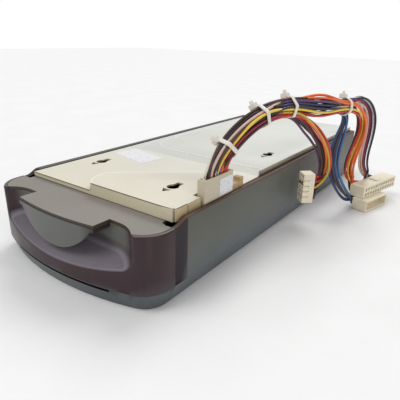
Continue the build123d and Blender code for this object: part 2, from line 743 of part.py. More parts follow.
def pressure_plate():
    """The sprung plate that the stack of notes lies against."""
    plate = block(-38, 38, stack_front_y + 4, stack_rear_y - 4, plate_z, plate_z + 1.5)
    for y in spring_ys:
        plate += rod_z(spring_radius - 2.2, 0, y, plate_z, plate_z + 5)
    return plate


def stack_springs():
    """The two coil springs that push the pressure plate down from the cover."""
    low, high = plate_z + 1.5 + spring_wire, rear_z - sheet - spring_wire
    made = []
    for y in spring_ys:
        path = Pos(0, y, low) * Helix((high - low) / 5, high - low, spring_radius)
        section = Plane(path @ 0, z_dir=path % 0) * Circle(spring_wire)
        made.append(sweep(section, path, is_frenet=True))
    return made


# ---------------------------------------------------------------- board and connectors
def main_board():
    """The circuit board under the covers."""
    board = block(*board_x, *board_y, board_z, board_z + board_thick)
    for x, y in board_holes():
        board -= rod_z(board_screw_radius + 0.1, x, y, board_z - 1, board_z + 3)
    return board


def board_holes():
    """Where the board is screwed to the chassis' side plates."""
    return [(x, y) for x in (-side_plate_x - 1, side_plate_x + 1) for y in (-105, 8)]


def board_screws():
    """The four screws that hold the board."""
    made = []
    for x, y in board_holes():
        top = board_z + board_thick
        head = rod_z(board_screw_radius + 1.1, x, y, top, top + 1.6)
        made.append(rod_z(board_screw_radius, x, y, board_z, top) + head)
    return made


def board_components():
    """The larger parts soldered to the board."""
    top = board_z + board_thick
    made = [block(-20, 2, -40, -18, top, top + 1.6), block(-42, -26, -100, -84, top, top + 1.6),
            block(16, 30, -12, -2, top, top + 2.2), block(-44, -34, -52, -44, top, top + 2.4)]
    made += [rod_z(3.6, x, board_y[0] + 5, top, top + 8.5) for x in (12, 22)]
    made += [rod_z(2.4, x, 2, top, top + 4.6) for x in (-30, -22, -14)]
    return made


def header_shroud():
    """The tan header on the board's edge that takes the harness plug."""
    x0, x1 = header_x
    shroud = block(x0, x1, *header_y, board_z + board_thick, header_top - 3.2)
    shroud += block(x0, x1, plug_y[1] + 0.6, header_y[1], header_top - 3.2, header_top)
    shroud += block(x0, x1, header_y[1] - 3.5, header_y[1], header_top, header_top + 2.6)
    return shroud - block(x0 + 1, x1 - 1, header_y[0] + 1, plug_y[1] - 0.6, 42, header_top)


def harness_plug():
    """The white plug on the header; its open top lets the wires out."""
    x0, x1 = plug_x
    y0, y1 = plug_y
    low = header_top - 3.2
    plug = block(x0, x1, y0, y1, low, plug_top)
    plug -= block(x0 + plug_wall, x1 - plug_wall, y0 + 1.2, y1 - 1.2, plug_floor, plug_top + 1)
    return plug - block(x0 - 1, x0 + plug_wall, y0 + 4, y1 - 3, plug_top - 3.4, plug_top + 1)


def plug_label():
    """The blank paper tag on the plug's outer face."""
    x = plug_x[1]
    return block(x, x + 0.2, plug_y[0] + 14.5, plug_y[1] - 0.3, rim_height + 1.2, plug_top - 2.6)


def turned_to(x, y, z, angle, solid):
    """A solid made at the origin, turned about Z and put in its place."""
    return Pos(x, y, z) * Rot(0, 0, angle) * solid


def connector_body(ways, depth=connector_depth, end=connector_end):
    """The block of a two-row cable connector: wires enter at +X, and it mates at -X."""
    return Box(depth, ways * way_pitch + 2 * end, connector_thick)


def cell_places(ways):
    """The middles of a two-row connector's cells, seen from its mating side."""
    row = [(k - (ways - 1) / 2) * way_pitch for k in range(ways)]
    return [(y, z) for y in row for z in (-way_pitch / 2, way_pitch / 2)]


def with_sockets(body, ways, depth):
    """A connector's block with its two rows of sockets cut into it."""
    for y, z in cell_places(ways):
        socket = Box(2 * socket_depth, socket_width, socket_width)
        body -= Pos(-depth / 2, y, z) * socket
    return body


def latched_connector(ways):
    """A connector with two rows of sockets and a latch bump on its broad side."""
    body = with_sockets(connector_body(ways), ways, connector_depth)
    return body + Pos(-0.5, 0, connector_thick / 2 + 0.5) * Box(7.5, 5.2, 1.0)


def grooved_connector(ways):
    """A short socket connector with a groove round its mating end between every two ways."""
    body = with_sockets(connector_body(ways, small_depth, small_end), ways, small_depth)
    for k in range(1, ways):
        groove = Box(groove_length, groove_width, connector_thick + 3)
        inner_thick = connector_thick - 2 * groove_depth
        groove -= Pos(groove_depth, 0, 0) * Box(groove_length, groove_width, inner_thick)
        middle_x = (groove_length - small_depth) / 2
        body -= Pos(middle_x, (k - ways / 2) * way_pitch, 0) * groove
    return body


def pin_connector(ways):
    """A connector with one wide recess at its mating end and two rows of pins in it."""
    length = ways * way_pitch + 2 * connector_end
    recess = Box(2 * recess_depth, length - 2 * recess_wall, connector_thick - 2 * recess_wall)
    body = connector_body(ways) - Pos(-connector_depth / 2, 0, 0) * recess
    for y, z in cell_places(ways):
        body += Pos(-connector_depth / 2 + recess_depth - 1.9, y, z) * Box(4.2, 0.9, 0.9)
    return body


def small_connector():
    """The connector that hangs beside the wall."""
    return turned_to(75.8, 11.8, 28.6, 45, Rot(90, 0, 0) * grooved_connector(5))


def upper_connector():
    """The long connector that lies on the lower one."""
    return turned_to(104.9, 93.6, 14.5, 166.7, latched_connector(12))


def lower_connector():
    """The connector that lies on the table."""
    return turned_to(107.2, 79.5, 4.8, 165, pin_connector(7))


def tube(name, route, diameter):
    """A round bundle along straight runs joined by the largest arcs that they allow."""
    points = [Vector(*p) for p in route]
    runs = [after - before for before, after in zip(points, points[1:])]
    radii = []
    for before, after in zip(runs, runs[1:]):
        half_turn = radians(before.get_angle(after)) / 2
        radii.append(0.45 * min(before.length, after.length) / tan(half_turn))
    path = FilletPolyline(*points, radius=radii)
    solid = sweep(Plane(points[0], z_dir=runs[0]) * Circle(diameter / 2), path)
    expected = pi * diameter ** 2 / 4 * path.length
    print(f"{name}: length {path.length:.1f}, radii {[round(r, 1) for r in radii]}, "
          f"volume over section times length {solid.volume / expected:.4f}")
    return solid


def cable_ties():
    """The nylon ties round the bundle, each a band with a small head."""
    made = []
    for place, along, diameter in tie_points:
        band = Cylinder(diameter / 2 + tie_thick, tie_width) - Cylinder(diameter / 2, tie_width)
        head = Pos(-diameter / 2 - tie_thick - 1.2, 0, 0) * Box(3.4, 4.6, 3.6)
        made.append(Plane(place, x_dir=(0, 0, -1), z_dir=along) * (band + head))
    return made


# ---------------------------------------------------------------- write every node
os.makedirs("parts", exist_ok=True)

save("bezel_shell", bezel_shell())
save("bezel_deck", bezel_deck())
save("lower_housing", lower_housing())
save("front_cover", front_cover())
save("rear_cover", rear_cover())
save("rating_label", rating_label())

save("access_door", access_door())
save("door_hinge_pin", rod_x(hinge_pin, -43, 43, hinge_y, hinge_z))
save("entry_guide", entry_guide())
save("housing_screws", *housing_screws())
save("upper_guide", upper_guide())
save("entry_gate", entry_gate())
save("gate_pin", gate_pin())
save("shaft_bushes", *shaft_bushes())
save("front_drive_shaft", drive_shaft(front_drive_y, pulley_x - 4.4))
save("rear_drive_shaft", drive_shaft(rear_drive_y, pulley_x - 4.4))
save("front_drive_rollers", *drive_rollers(front_drive_y))
save("rear_drive_rollers", *drive_rollers(rear_drive_y))
save("front_pinch_shaft", pinch_shaft(front_drive_y))
save("rear_pinch_shaft", pinch_shaft(rear_drive_y))
save("front_pinch_rollers", *pinch_rollers(front_drive_y))
save("rear_pinch_rollers", *pinch_rollers(rear_drive_y))
save("front_pulley", belt_pulley(front_drive_y))
save("rear_pulley", belt_pulley(rear_drive_y))
save("drive_belt", drive_belt())
save("front_drive_gear", front_drive_gear())
save("idler_gear", idler_gear())
save("idler_pin", idler_pin())
save("motor_pinion", motor_pinion())
transport_motor, transport_motor_shaft = motor(motor_y, motor_z, motor_radius,
                                               -side_plate_x + 0.4, -11, gear_x - 2)
save("transport_motor", transport_motor)
save("transport_motor_shaft", transport_motor_shaft)
save("lower_light_bar", lower_light_bar())
save("sensor_window", sensor_window())
save("sensor_head", sensor_head())

save("stack_frame", stack_frame())
save("guide_posts", *guide_posts())
save("pusher_plate", pusher_plate())
save("pusher_rack", pusher_rack())
save("stacker_pinion", stacker_pinion())
stacker_motor, stacker_motor_shaft = motor(stacker_motor_y, stacker_motor_z,
                                           stacker_motor_radius, 12, side_plate_x - 0.4,
                                           rack_x + 2)
save("stacker_motor", stacker_motor)
save("stacker_motor_shaft", stacker_motor_shaft)
save("pressure_plate", pressure_plate())
save("stack_springs", *stack_springs())

save("main_board", main_board())
save("board_components", *board_components())
save("board_screws", *board_screws())
save("header_shroud", header_shroud())
save("harness_plug", harness_plug())
save("plug_label", plug_label())
save("small_connector", small_connector())
save("upper_connector", upper_connector())
save("lower_connector", lower_connector())
save("cable_ties", *cable_ties())
save("harness_trunk_lower", tube("trunk_lower", trunk_lower, trunk_lower_diameter))
save("harness_trunk_upper", tube("trunk_upper", trunk_upper, trunk_upper_diameter))
save("harness_small_branch", tube("small_branch", small_branch, branch_diameter))
save("harness_lower_branch", tube("lower_branch", lower_branch, branch_diameter))
save("harness_middle_branch", tube("middle_branch", middle_branch, branch_diameter))
save("harness_outer_branch", tube("outer_branch", outer_branch, branch_diameter))
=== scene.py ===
import bmesh
import bpy
import json
import math
import random
from mathutils import Matrix, Vector


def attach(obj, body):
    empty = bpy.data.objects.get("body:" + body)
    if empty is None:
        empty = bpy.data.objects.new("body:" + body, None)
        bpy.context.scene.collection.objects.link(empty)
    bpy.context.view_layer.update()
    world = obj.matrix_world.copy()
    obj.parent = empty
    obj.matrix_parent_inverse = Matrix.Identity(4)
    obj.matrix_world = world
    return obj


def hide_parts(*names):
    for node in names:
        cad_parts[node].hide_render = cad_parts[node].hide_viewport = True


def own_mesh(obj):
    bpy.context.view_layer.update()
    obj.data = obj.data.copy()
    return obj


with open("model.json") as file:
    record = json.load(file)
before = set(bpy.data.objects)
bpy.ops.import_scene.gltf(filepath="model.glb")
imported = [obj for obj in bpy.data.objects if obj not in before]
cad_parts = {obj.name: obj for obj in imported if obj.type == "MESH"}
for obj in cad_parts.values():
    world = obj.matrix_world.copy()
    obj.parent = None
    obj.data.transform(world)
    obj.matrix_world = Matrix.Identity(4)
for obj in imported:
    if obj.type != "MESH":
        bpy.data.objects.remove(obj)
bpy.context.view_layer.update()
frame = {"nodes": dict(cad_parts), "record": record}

# The looks of the bill validator, in metres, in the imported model's frame.

scene = bpy.context.scene
nodes = frame["nodes"]
MM = 0.001


# ---------------------------------------------------------------- camera, light and floor
camera_place = Vector((0.1814, -0.2704, 0.1316))
camera_down = math.radians(21.69)
camera_turn = math.radians(35.63)
camera_roll = math.radians(1.458)
camera_lens = 37.28              # millimetres, on a sensor 36 wide
camera_near = 0.01

# each light: name, place, strength, spread in degrees
suns = (
    ("key_light", (-0.35, -0.5, 0.95), 0.95, 30),
    ("rear_light", (-0.15, 0.7, 0.9), 1.15, 34),
    ("side_light", (0.9, -0.2, 0.45), 0.4, 30),
)
world_light = 0.46               # how strongly the surroundings light the object
world_seen = 1.0                 # how bright they are to the camera
floor_half = 3.0
floor_z = -0.0003                # just under the object, so that the two don't touch


def camera():
    """The camera: it looks along +Y, turned to the left and tilted down."""
    ahead = Vector((-math.sin(camera_turn) * math.cos(camera_down),
                    math.cos(camera_turn) * math.cos(camera_down), -math.sin(camera_down)))
    level = Vector((math.cos(camera_turn), math.sin(camera_turn), 0))
    up = level.cross(ahead)
    right = level * math.cos(camera_roll) + up * math.sin(camera_roll)
    top = up * math.cos(camera_roll) - level * math.sin(camera_roll)
    made = bpy.data.objects.new("camera", bpy.data.cameras.new("camera"))
    turned = Matrix((right, top, -ahead)).transposed().to_4x4()
    made.matrix_world = Matrix.Translation(camera_place) @ turned
    made.data.lens = camera_lens
    made.data.sensor_width = 36
    made.data.clip_start = camera_near
    scene.collection.objects.link(made)
    scene.camera = made


def soft_sun(name, place, power, spread):
    """A broad, even light that shines from a place towards the object."""
    made = bpy.data.objects.new(name, bpy.data.lights.new(name, "SUN"))
    made.data.energy = power
    made.data.angle = math.radians(spread)
    made.location = place
    made.rotation_euler = Vector(place).to_track_quat("Z", "Y").to_euler()
    scene.collection.objects.link(made)


def surroundings():
    """White surroundings that look brighter than they shine."""
    world = bpy.data.worlds.new("surroundings")
    world.use_nodes = True
    tree = world.node_tree
    strength = tree.nodes.new("ShaderNodeMapRange")
    strength.inputs["To Min"].default_value = world_light
    strength.inputs["To Max"].default_value = world_seen
    seen = tree.nodes.new("ShaderNodeLightPath")
    tree.links.new(seen.outputs["Is Camera Ray"], strength.inputs["Value"])
    tree.links.new(strength.outputs["Result"], tree.nodes["Background"].inputs["Strength"])
    tree.nodes["Background"].inputs["Color"].default_value = (1.0, 1.0, 1.0, 1)
    scene.world = world


def pale_floor():
    """The floor that the object lies on."""
    mesh = bpy.data.meshes.new("floor")
    corners = [(x * floor_half, y * floor_half, floor_z)
               for x, y in ((-1, -1), (1, -1), (1, 1), (-1, 1))]
    mesh.from_pydata(corners, [], [(0, 1, 2, 3)])
    mesh.materials.append(finish("floor_paper", (243, 243, 243), 0.9, grain=0.0005,
                                 variation=0.01, bump=0.0))
    floor = bpy.data.objects.new("floor", mesh)
    scene.collection.objects.link(floor)


# ---------------------------------------------------------------- materials
def linear(colour):
    """A colour from 0 to 255, as a screen shows it, in the renderer's linear numbers."""
    made = []
    for channel in colour:
        value = channel / 255
        made.append(value / 12.92 if value <= 0.04045 else ((value + 0.055) / 1.055) ** 2.4)
    return (*made, 1)


class Graph:
    """A material's nodes, added and linked by short calls."""

    def __init__(self, name):
        self.material = bpy.data.materials.new(name)
        self.material.use_nodes = True
        self.tree = self.material.node_tree
        self.shader = self.tree.nodes["Principled BSDF"]
        self.place = self.add("ShaderNodeTexCoord").outputs["Object"]

    def add(self, kind, settings=None, **inputs):
        """One node; an input is a number, a colour or another node's socket."""
        node = self.tree.nodes.new(kind)
        for key, value in (settings or {}).items():
            setattr(node, key, value)
        for key, value in inputs.items():
            socket = node.inputs[key.replace("_", " ")]
            if isinstance(value, bpy.types.NodeSocket):
                self.tree.links.new(value, socket)
            else:
                socket.default_value = value
        return node

    def noise(self, size, detail=3.0, rough=0.55):
        """Noise whose blotches are about so many metres across."""
        return self.add("ShaderNodeTexNoise", Vector=self.place, Scale=0.6 / size, Detail=detail,
                        Roughness=rough).outputs["Fac"]

    def ramp(self, value, low, high, out_low=0.0, out_high=1.0):
        """A value stretched from one range to another, and kept inside it."""
        node = self.add("ShaderNodeMapRange", Value=value, From_Min=low, From_Max=high,
                        To_Min=out_low, To_Max=out_high)
        return node.outputs["Result"]

    def mix(self, amount, first, second, blend="MIX"):
        """Two colours mixed."""
        node = self.tree.nodes.new("ShaderNodeMix")
        node.data_type = "RGBA"
        node.blend_type = blend
        for socket, value in zip((node.inputs[0], node.inputs[6], node.inputs[7]),
                                 (amount, first, second)):
            if isinstance(value, bpy.types.NodeSocket):
                self.tree.links.new(value, socket)
            else:
                socket.default_value = value
        return node.outputs[2]

    def axis(self, letter):
        """The place along one axis, in metres."""
        return self.add("ShaderNodeSeparateXYZ", Vector=self.place).outputs[letter]

    def bump(self, height, strength, distance, normal=None):
        """A bump from a height."""
        inputs = {"Height": height, "Strength": strength, "Distance": distance}
        if normal is not None:
            inputs["Normal"] = normal
        return self.add("ShaderNodeBump", None, **inputs).outputs["Normal"]

    def set(self, name, value):
        """One of the shader's own sockets."""
        socket = self.shader.inputs[name]
        if isinstance(value, bpy.types.NodeSocket):
            self.tree.links.new(value, socket)
        else:
            socket.default_value = value


gloss_change = 0.06              # how far the roughness wanders up and down


def finish(name, colour, rough, grain=0.0006, variation=0.06, bump=0.08, metal=0.0,
           specular=0.5, tint=None, coat=0.0, patch=0.03):
    """A finish with grain, soft patches of tone and uneven gloss."""
    graph = Graph(name)
    base = linear(colour)
    shade = tint(graph, base) if tint is not None else base
    tone = graph.ramp(graph.noise(patch, 4.0), 0.3, 0.7, 1 - 2.2 * variation, 1 + 1.6 * variation)
    speck = graph.ramp(graph.noise(grain, 2.0), 0.25, 0.75, 1 - variation, 1 + variation)
    level = product(graph, tone, speck)
    grey = graph.add("ShaderNodeCombineColor", Red=level, Green=level, Blue=level)
    graph.set("Base Color", graph.mix(1.0, shade, grey.outputs["Color"], "MULTIPLY"))
    gloss = graph.noise(patch * 0.6, 3.0)
    graph.set("Roughness", graph.ramp(gloss, 0.25, 0.75, max(0.03, rough - gloss_change),
                                      min(1.0, rough + gloss_change)))
    graph.set("Metallic", metal)
    graph.set("Specular IOR Level", specular)
    graph.set("Coat Weight", coat)
    if bump:
        graph.set("Normal", graph.bump(graph.noise(grain, 2.0), bump, grain * 0.5))
    return graph.material


def facing(graph, letter):
    """How far a face looks along one axis, from -1 to 1."""
    normal = graph.add("ShaderNodeNewGeometry").outputs["Normal"]
    return graph.add("ShaderNodeSeparateXYZ", Vector=normal).outputs[letter]


def product(graph, first, second):
    """One value times another."""
    node = graph.tree.nodes.new("ShaderNodeMath")
    node.operation = "MULTIPLY"
    graph.tree.links.new(first, node.inputs[0])
    graph.tree.links.new(second, node.inputs[1])
    return node.outputs["Value"]


# the tints' colours, named for where they lie (the bezel's band is the sloping band along the
# bottom, and so on); apart from the label's ink and the rear sheet's cooler grey, they are painted
# light and shade: painted reflections, painted bounce light, painted highlights and painted shade
shades = {name: linear(colour) for name, colour in {
    "wall_foot_bounce_light": (103, 107, 103), "wall": (90, 90, 82), "wall_rear_shade": (84, 72, 66),
    "wall_band_bounce_light": (96, 102, 106), "wall_rim_highlight": (88, 66, 58),
    "bezel_band_bounce_light": (84, 90, 92), "tongue": (94, 96, 93), "scoop_back_reflection": (88, 89, 82),
    "scoop_floor_light": (88, 78, 87), "scoop_turn_highlight": (124, 117, 127), "bezel_top_highlight": (104, 92, 92),
    "deck_edge_shade": (66, 56, 44),
    "cover_rear": (222, 222, 212), "cover_front": (220, 211, 182), "cover_side_shade": (196, 178, 136),
    "flange_foot": (96, 82, 68), "flange": (168, 160, 140), "flange_end": (52, 42, 34),
    "ink": (150, 146, 160),
}.items()}


def housing_painted_light(graph, shade):
    """Mauve at the front corner; along the wall a painted grey reflection, lighter at its foot from
    painted bounce light and darker brown at the rear top from painted shade; painted bounce light
    on the sloping band below and a painted highlight on the top rim.
    """
    # painted reflection: behind the seam the wall is greyed as if reflecting the white
    # surroundings, lighter towards its foot from painted bounce light
    along = graph.ramp(graph.axis("Y"), -0.1182, -0.1176)
    grey = graph.mix(graph.ramp(graph.axis("Z"), 0.012, 0.044), shades["wall_foot_bounce_light"],
                     shades["wall"])
    shade = graph.mix(along, shade, grey)
    # painted shade: towards the rear top the grey reflection gives way to a darker brown
    rear = product(graph, graph.ramp(graph.axis("Y"), 0.0, 0.12),
                   graph.ramp(graph.axis("Z"), 0.02, 0.046))
    shade = graph.mix(rear, shade, shades["wall_rear_shade"])
    # painted bounce light on the sloping band that faces down to the pale floor
    low = graph.ramp(facing(graph, "Z"), -0.05, -0.2)
    shade = graph.mix(low, shade, shades["wall_band_bounce_light"])
    # painted highlight along the wall's top rim
    rim = product(graph, graph.ramp(facing(graph, "Z"), 0.3, 0.7),
                  graph.ramp(graph.axis("X"), 0.0, 0.05))
    return graph.mix(rim, shade, shades["wall_rim_highlight"])


def bezel_painted_light(graph, shade):
    """Painted light on the bezel: painted bounce light on the band along the bottom, painted
    reflections on the tongue and the scoop's back wall, a lighter painted floor in the scoop with a
    painted highlight where it turns into its lip, and a painted highlight along the top edge.
    """
    # painted bounce light on the sloping band along the bottom, which faces the pale floor
    low = graph.ramp(facing(graph, "Z"), -0.12, -0.25)
    shade = graph.mix(low, shade, shades["bezel_band_bounce_light"])
    # painted reflection on the tongue's front face
    ahead = graph.ramp(graph.axis("Y"), -0.1515, -0.1530)
    high = graph.ramp(graph.axis("Z"), 0.0225, 0.0250)
    across = product(graph, graph.ramp(graph.axis("X"), 0.0325, 0.0318),
                     graph.ramp(graph.axis("X"), -0.0325, -0.0318))
    tongue = product(graph, product(graph, ahead, high), across)
    shade = graph.mix(tongue, shade, shades["tongue"])
    # painted reflection on the scoop's back wall
    back = product(graph, graph.ramp(graph.axis("Y"), -0.1440, -0.1412),
                   graph.ramp(facing(graph, "Y"), -0.55, -0.95))
    back = product(graph, back, graph.ramp(graph.axis("Z"), 0.024, 0.034))
    shade = graph.mix(back, shade, shades["scoop_back_reflection"])
    # painted light on the scoop's floor
    above = product(graph, graph.ramp(graph.axis("Z"), 0.0115, 0.0125),
                    graph.ramp(graph.axis("Z"), 0.034, 0.028))
    floor = product(graph, above, graph.ramp(facing(graph, "Z"), 0.55, 0.85))
    shade = graph.mix(floor, shade, shades["scoop_floor_light"])
    # painted highlight where the scoop's floor turns into its lip
    turn = product(graph, graph.ramp(facing(graph, "Z"), 0.35, 0.62),
                   graph.ramp(facing(graph, "Z"), 0.82, 0.70))
    shade = graph.mix(product(graph, above, turn), shade, shades["scoop_turn_highlight"])
    # painted highlight along the top edge round the deck
    top = graph.ramp(facing(graph, "Z"), 0.6, 0.95)
    return graph.mix(product(graph, top, graph.ramp(graph.axis("Z"), 0.041, 0.0425)), shade,
                     shades["bezel_top_highlight"])


def deck_painted_edge_shade(graph, shade):
    """Painted shade: the plate's edge faces, in the narrow gap round it, are dark."""
    side = graph.ramp(facing(graph, "Z"), 0.6, 0.3)
    return graph.mix(side, shade, shades["deck_edge_shade"])


def cover_colour_and_shade(graph, shade):
    """Cream on top and cooler towards the rear; the turned-down front and sides get painted shade,
    darker and yellower.
    """
    shade = graph.mix(graph.ramp(graph.axis("Y"), -0.10, -0.02), shade, shades["cover_rear"])
    # painted shade on the faces turned to the front
    front = graph.ramp(facing(graph, "Y"), -0.5, -0.9)
    shade = graph.mix(front, shade, shades["cover_front"])
    # painted shade on the faces turned to the right
    side = graph.ramp(facing(graph, "X"), 0.5, 0.9)
    return graph.mix(side, shade, shades["cover_side_shade"])


def rear_side_shade(graph, shade):
    """Pale grey on top; the right side, turned down, gets painted shade: duller than the top, and
    darker and browner at its foot and its front end.
    """
    # painted shade on the turned-down right side
    side = graph.ramp(facing(graph, "X"), 0.5, 0.9)
    low = graph.mix(graph.ramp(graph.axis("Z"), 0.0458, 0.0482), shades["flange_foot"],
                    shades["flange"])
    low = graph.mix(graph.ramp(graph.axis("Y"), -0.0346, -0.0352), low, shades["flange_end"])
    return graph.mix(side, shade, low)


label_row = 0.0024               # from one row of dashes to the next
label_turn = 0.19                # the rating label lies askew


def label_lines(graph, shade):
    """Rows of short grey dashes, too small to be letters."""
    turned = graph.add("ShaderNodeMapping", Vector=graph.place, Rotation=(0, 0, label_turn))
    split = graph.add("ShaderNodeSeparateXYZ", Vector=turned.outputs["Vector"])
    height = graph.add("ShaderNodeMath", {"operation": "ADD"})
    graph.tree.links.new(split.outputs["Y"], height.inputs[0])
    graph.tree.links.new(split.outputs["Z"], height.inputs[1])
    rows = graph.add("ShaderNodeMath", {"operation": "PINGPONG"})
    graph.tree.links.new(height.outputs["Value"], rows.inputs[0])
    rows.inputs[1].default_value = label_row / 2
    row = graph.ramp(rows.outputs["Value"], 0.00085, 0.00095)
    dashes = graph.add("ShaderNodeTexNoise", Vector=turned.outputs["Vector"], Scale=520.0,
                       Detail=2.0, Roughness=0.6).outputs["Fac"]
    ink = product(graph, row, graph.ramp(dashes, 0.50, 0.56, 0.0, 0.55))
    return graph.mix(ink, shade, shades["ink"])


def finished(work, name):
    """A new mesh from the mesh under way."""
    mesh = bpy.data.meshes.new(name)
    work.to_mesh(mesh)
    work.free()
    return mesh


def linked(name, mesh):
    """An object for a mesh, riding on the housing's body."""
    made = bpy.data.objects.new(name, mesh)
    scene.collection.objects.link(made)
    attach(made, "root")
    return made


def plain_copy(node):
    """A CAD node's mesh, with its flat faces whole and its faces smooth between sharp edges."""
    work = bmesh.new()
    work.from_mesh(nodes[node].data)
    bmesh.ops.remove_doubles(work, verts=work.verts, dist=1e-6)
    bmesh.ops.dissolve_limit(work, angle_limit=math.radians(0.6), verts=work.verts,
                             edges=work.edges)
    mesh = finished(work, node + "_mesh")
    for face in mesh.polygons:
        face.use_smooth = True
    mesh.set_sharp_from_angle(angle=math.radians(28))
    return mesh


def softened(node, width, face_material, angle=50, segments=2, edge_material=None):
    """A copy of a CAD node with its sharp edges rounded, in the node's place."""
    made = bpy.data.objects.new(node + "_piece", plain_copy(node))
    scene.collection.objects.link(made)
    made.data.materials.append(materials[face_material])
    bevel = made.modifiers.new("edges", "BEVEL")
    bevel.width = width
    bevel.segments = segments
    bevel.limit_method = "ANGLE"
    bevel.angle_limit = math.radians(angle)
    bevel.harden_normals = True
    bevel.use_clamp_overlap = True
    if edge_material is not None:
        made.data.materials.append(materials[edge_material])
        bevel.material = 1
    depsgraph = bpy.context.evaluated_depsgraph_get()
    rounded = bpy.data.meshes.new_from_object(made.evaluated_get(depsgraph))
    made.modifiers.clear()
    made.data = rounded
    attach(made, "root")
    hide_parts(node)


def stack_springs():
    """The stack springs, copied from their node and riding on the housing's body."""
    made = linked("stack_springs_piece", nodes["stack_springs"].data.copy())
    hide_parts("stack_springs")
    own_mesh(made)


def tube_rings(points, radius, sides):
    """Rings of points round a line, without twist."""
    rings = []
    side = None
    for k, point in enumerate(points):
        before = points[max(k - 1, 0)]
        after = points[min(k + 1, len(points) - 1)]
        ahead = (after - before).normalized()
        if side is None:
            side = ahead.orthogonal().normalized()
        side = (side - ahead * side.dot(ahead)).normalized()
        across = ahead.cross(side)
        rings.append([point + (side * math.cos(a) + across * math.sin(a)) * radius
                      for a in (2 * math.pi * j / sides for j in range(sides))])
    return rings


def add_tube(work, points, radius, sides, material=0):
    """A closed tube along a line, added to a mesh under way."""
    rings = [[work.verts.new(p) for p in ring] for ring in tube_rings(points, radius, sides)]
    for low, high in zip(rings, rings[1:]):
        for j in range(sides):
            face = work.faces.new((low[j], low[(j + 1) % sides], high[(j + 1) % sides], high[j]))
            face.smooth = True
            face.material_index = material
    for ring, order in ((rings[0], -1), (rings[-1], 1)):
        cap = work.faces.new(ring[::order])
        cap.material_index = material


# ---------------------------------------------------------------- the harness: routes
trunk_route = [(0.06, -0.086, 0.0598), (0.06, -0.086, 0.0652), (0.0614, -0.081, 0.0722),
               (0.0634, -0.0726, 0.0794), (0.0662, -0.06, 0.0864), (0.0696, -0.045, 0.0908),
               (0.0733, -0.029, 0.0918), (0.0776, -0.011, 0.0909), (0.083, 0.013, 0.0892),
               (0.0884, 0.0363, 0.0864)]
small_route = [(0.074, -0.0275, 0.0848), (0.0762, -0.0175, 0.0832), (0.0792, -0.0065, 0.0786),
               (0.0822, 0.0034, 0.071), (0.085, 0.0118, 0.0616), (0.0868, 0.0172, 0.0514),
               (0.0868, 0.0198, 0.0415), (0.0846, 0.0193, 0.0334), (0.0789, 0.0149, 0.0287)]
lower_route = [(0.0848, 0.0364, 0.0826), (0.0865, 0.042, 0.077), (0.0874, 0.041, 0.0688),
               (0.0872, 0.035, 0.061), (0.087, 0.0304, 0.0526), (0.0872, 0.0306, 0.0434),
               (0.088, 0.0355, 0.0344), (0.0892, 0.043, 0.026), (0.0906, 0.0514, 0.018),
               (0.0924, 0.06, 0.0106), (0.0948, 0.067, 0.0058), (0.0992, 0.0726, 0.0049)]
middle_route = [(0.0916, 0.036, 0.0846), (0.0936, 0.0468, 0.0834), (0.0952, 0.0576, 0.0776),
                (0.0954, 0.0648, 0.068), (0.0942, 0.0656, 0.0574), (0.092, 0.063, 0.0472),
                (0.0902, 0.0634, 0.0372), (0.089, 0.0682, 0.0286), (0.09, 0.0752, 0.0208),
                (0.0954, 0.0814, 0.0146)]
outer_route = [(0.0884, 0.0366, 0.0912), (0.0908, 0.0484, 0.0918), (0.0934, 0.0602, 0.0894),
               (0.096, 0.0716, 0.0836), (0.0978, 0.0792, 0.0736), (0.0978, 0.0808, 0.0622),
               (0.0966, 0.08, 0.051), (0.0954, 0.0822, 0.0404), (0.0948, 0.088, 0.031),
               (0.0958, 0.0964, 0.023), (0.1008, 0.1044, 0.0152)]
wire_radius = 0.00084
wire_spacing = 2.24              # from wire to wire in a bundle, in wire radii
wire_step = 0.0018               # from one point of a wire's line to the next
branch_reach = 0.0064            # wires that lie further from their branch's line are its ends
loose_spread = (1.22, 1.45)      # how much wider the trunk is between ties 3 and 4
branch_spread = (1.15, 1.45)     # how much wider a branch is than close-packed wires
settle_length = 0.022            # a wire moves to its place in the branch over this length
sway = 0.0010                    # how far a branch's wire wanders to each side
fan_steps = round(0.013 / wire_step)          # the end of a branch where its wires part
plug_top = 0.0597
plug_middle_x = 0.060
pocket_start_y = -0.0958
pocket_length = 0.0196
pocket_gap = 0.0017              # between the plug's two rows of wires
sunk_depths = (0.0068, 0.0030, 0.0)           # the wires' ends inside the plug
lead_lengths = (0.0042, 0.0020, -0.0015)      # a wire's last points, out from its socket


def spline_line(name, points):
    """The smooth line of a route: a NURBS spline with the route's points as its controls."""
    curve = bpy.data.curves.new(name, "CURVE")
    curve.dimensions = "3D"
    spline = curve.splines.new("NURBS")
    spline.points.add(len(points) - 1)
    for control, place in zip(spline.points, points):
        control.co = (*place, 1)
    spline.order_u = 3
    spline.use_endpoint_u = True
    spline.resolution_u = 24
    holder = bpy.data.objects.new(name, curve)
    mesh = bpy.data.meshes.new_from_object(holder)
    line = [v.co.copy() for v in mesh.vertices]
    bpy.data.meshes.remove(mesh)
    bpy.data.objects.remove(holder)
    return line


def line_length(line):
    """A line's length."""
    return sum((b - a).length for a, b in zip(line, line[1:]))


def evenly(line, step):
    """The same line with points an even distance apart."""
    count = max(2, round(line_length(line) / step) + 1)
    gap = line_length(line) / (count - 1)
    made = [line[0].copy()]
    travelled = 0.0
    for a, b in zip(line, line[1:]):
        span = (b - a).length
        while len(made) < count - 1 and travelled + span >= gap * len(made):
            made.append(a.lerp(b, (gap * len(made) - travelled) / span))
        travelled += span
    made.append(line[-1].copy())
    return made


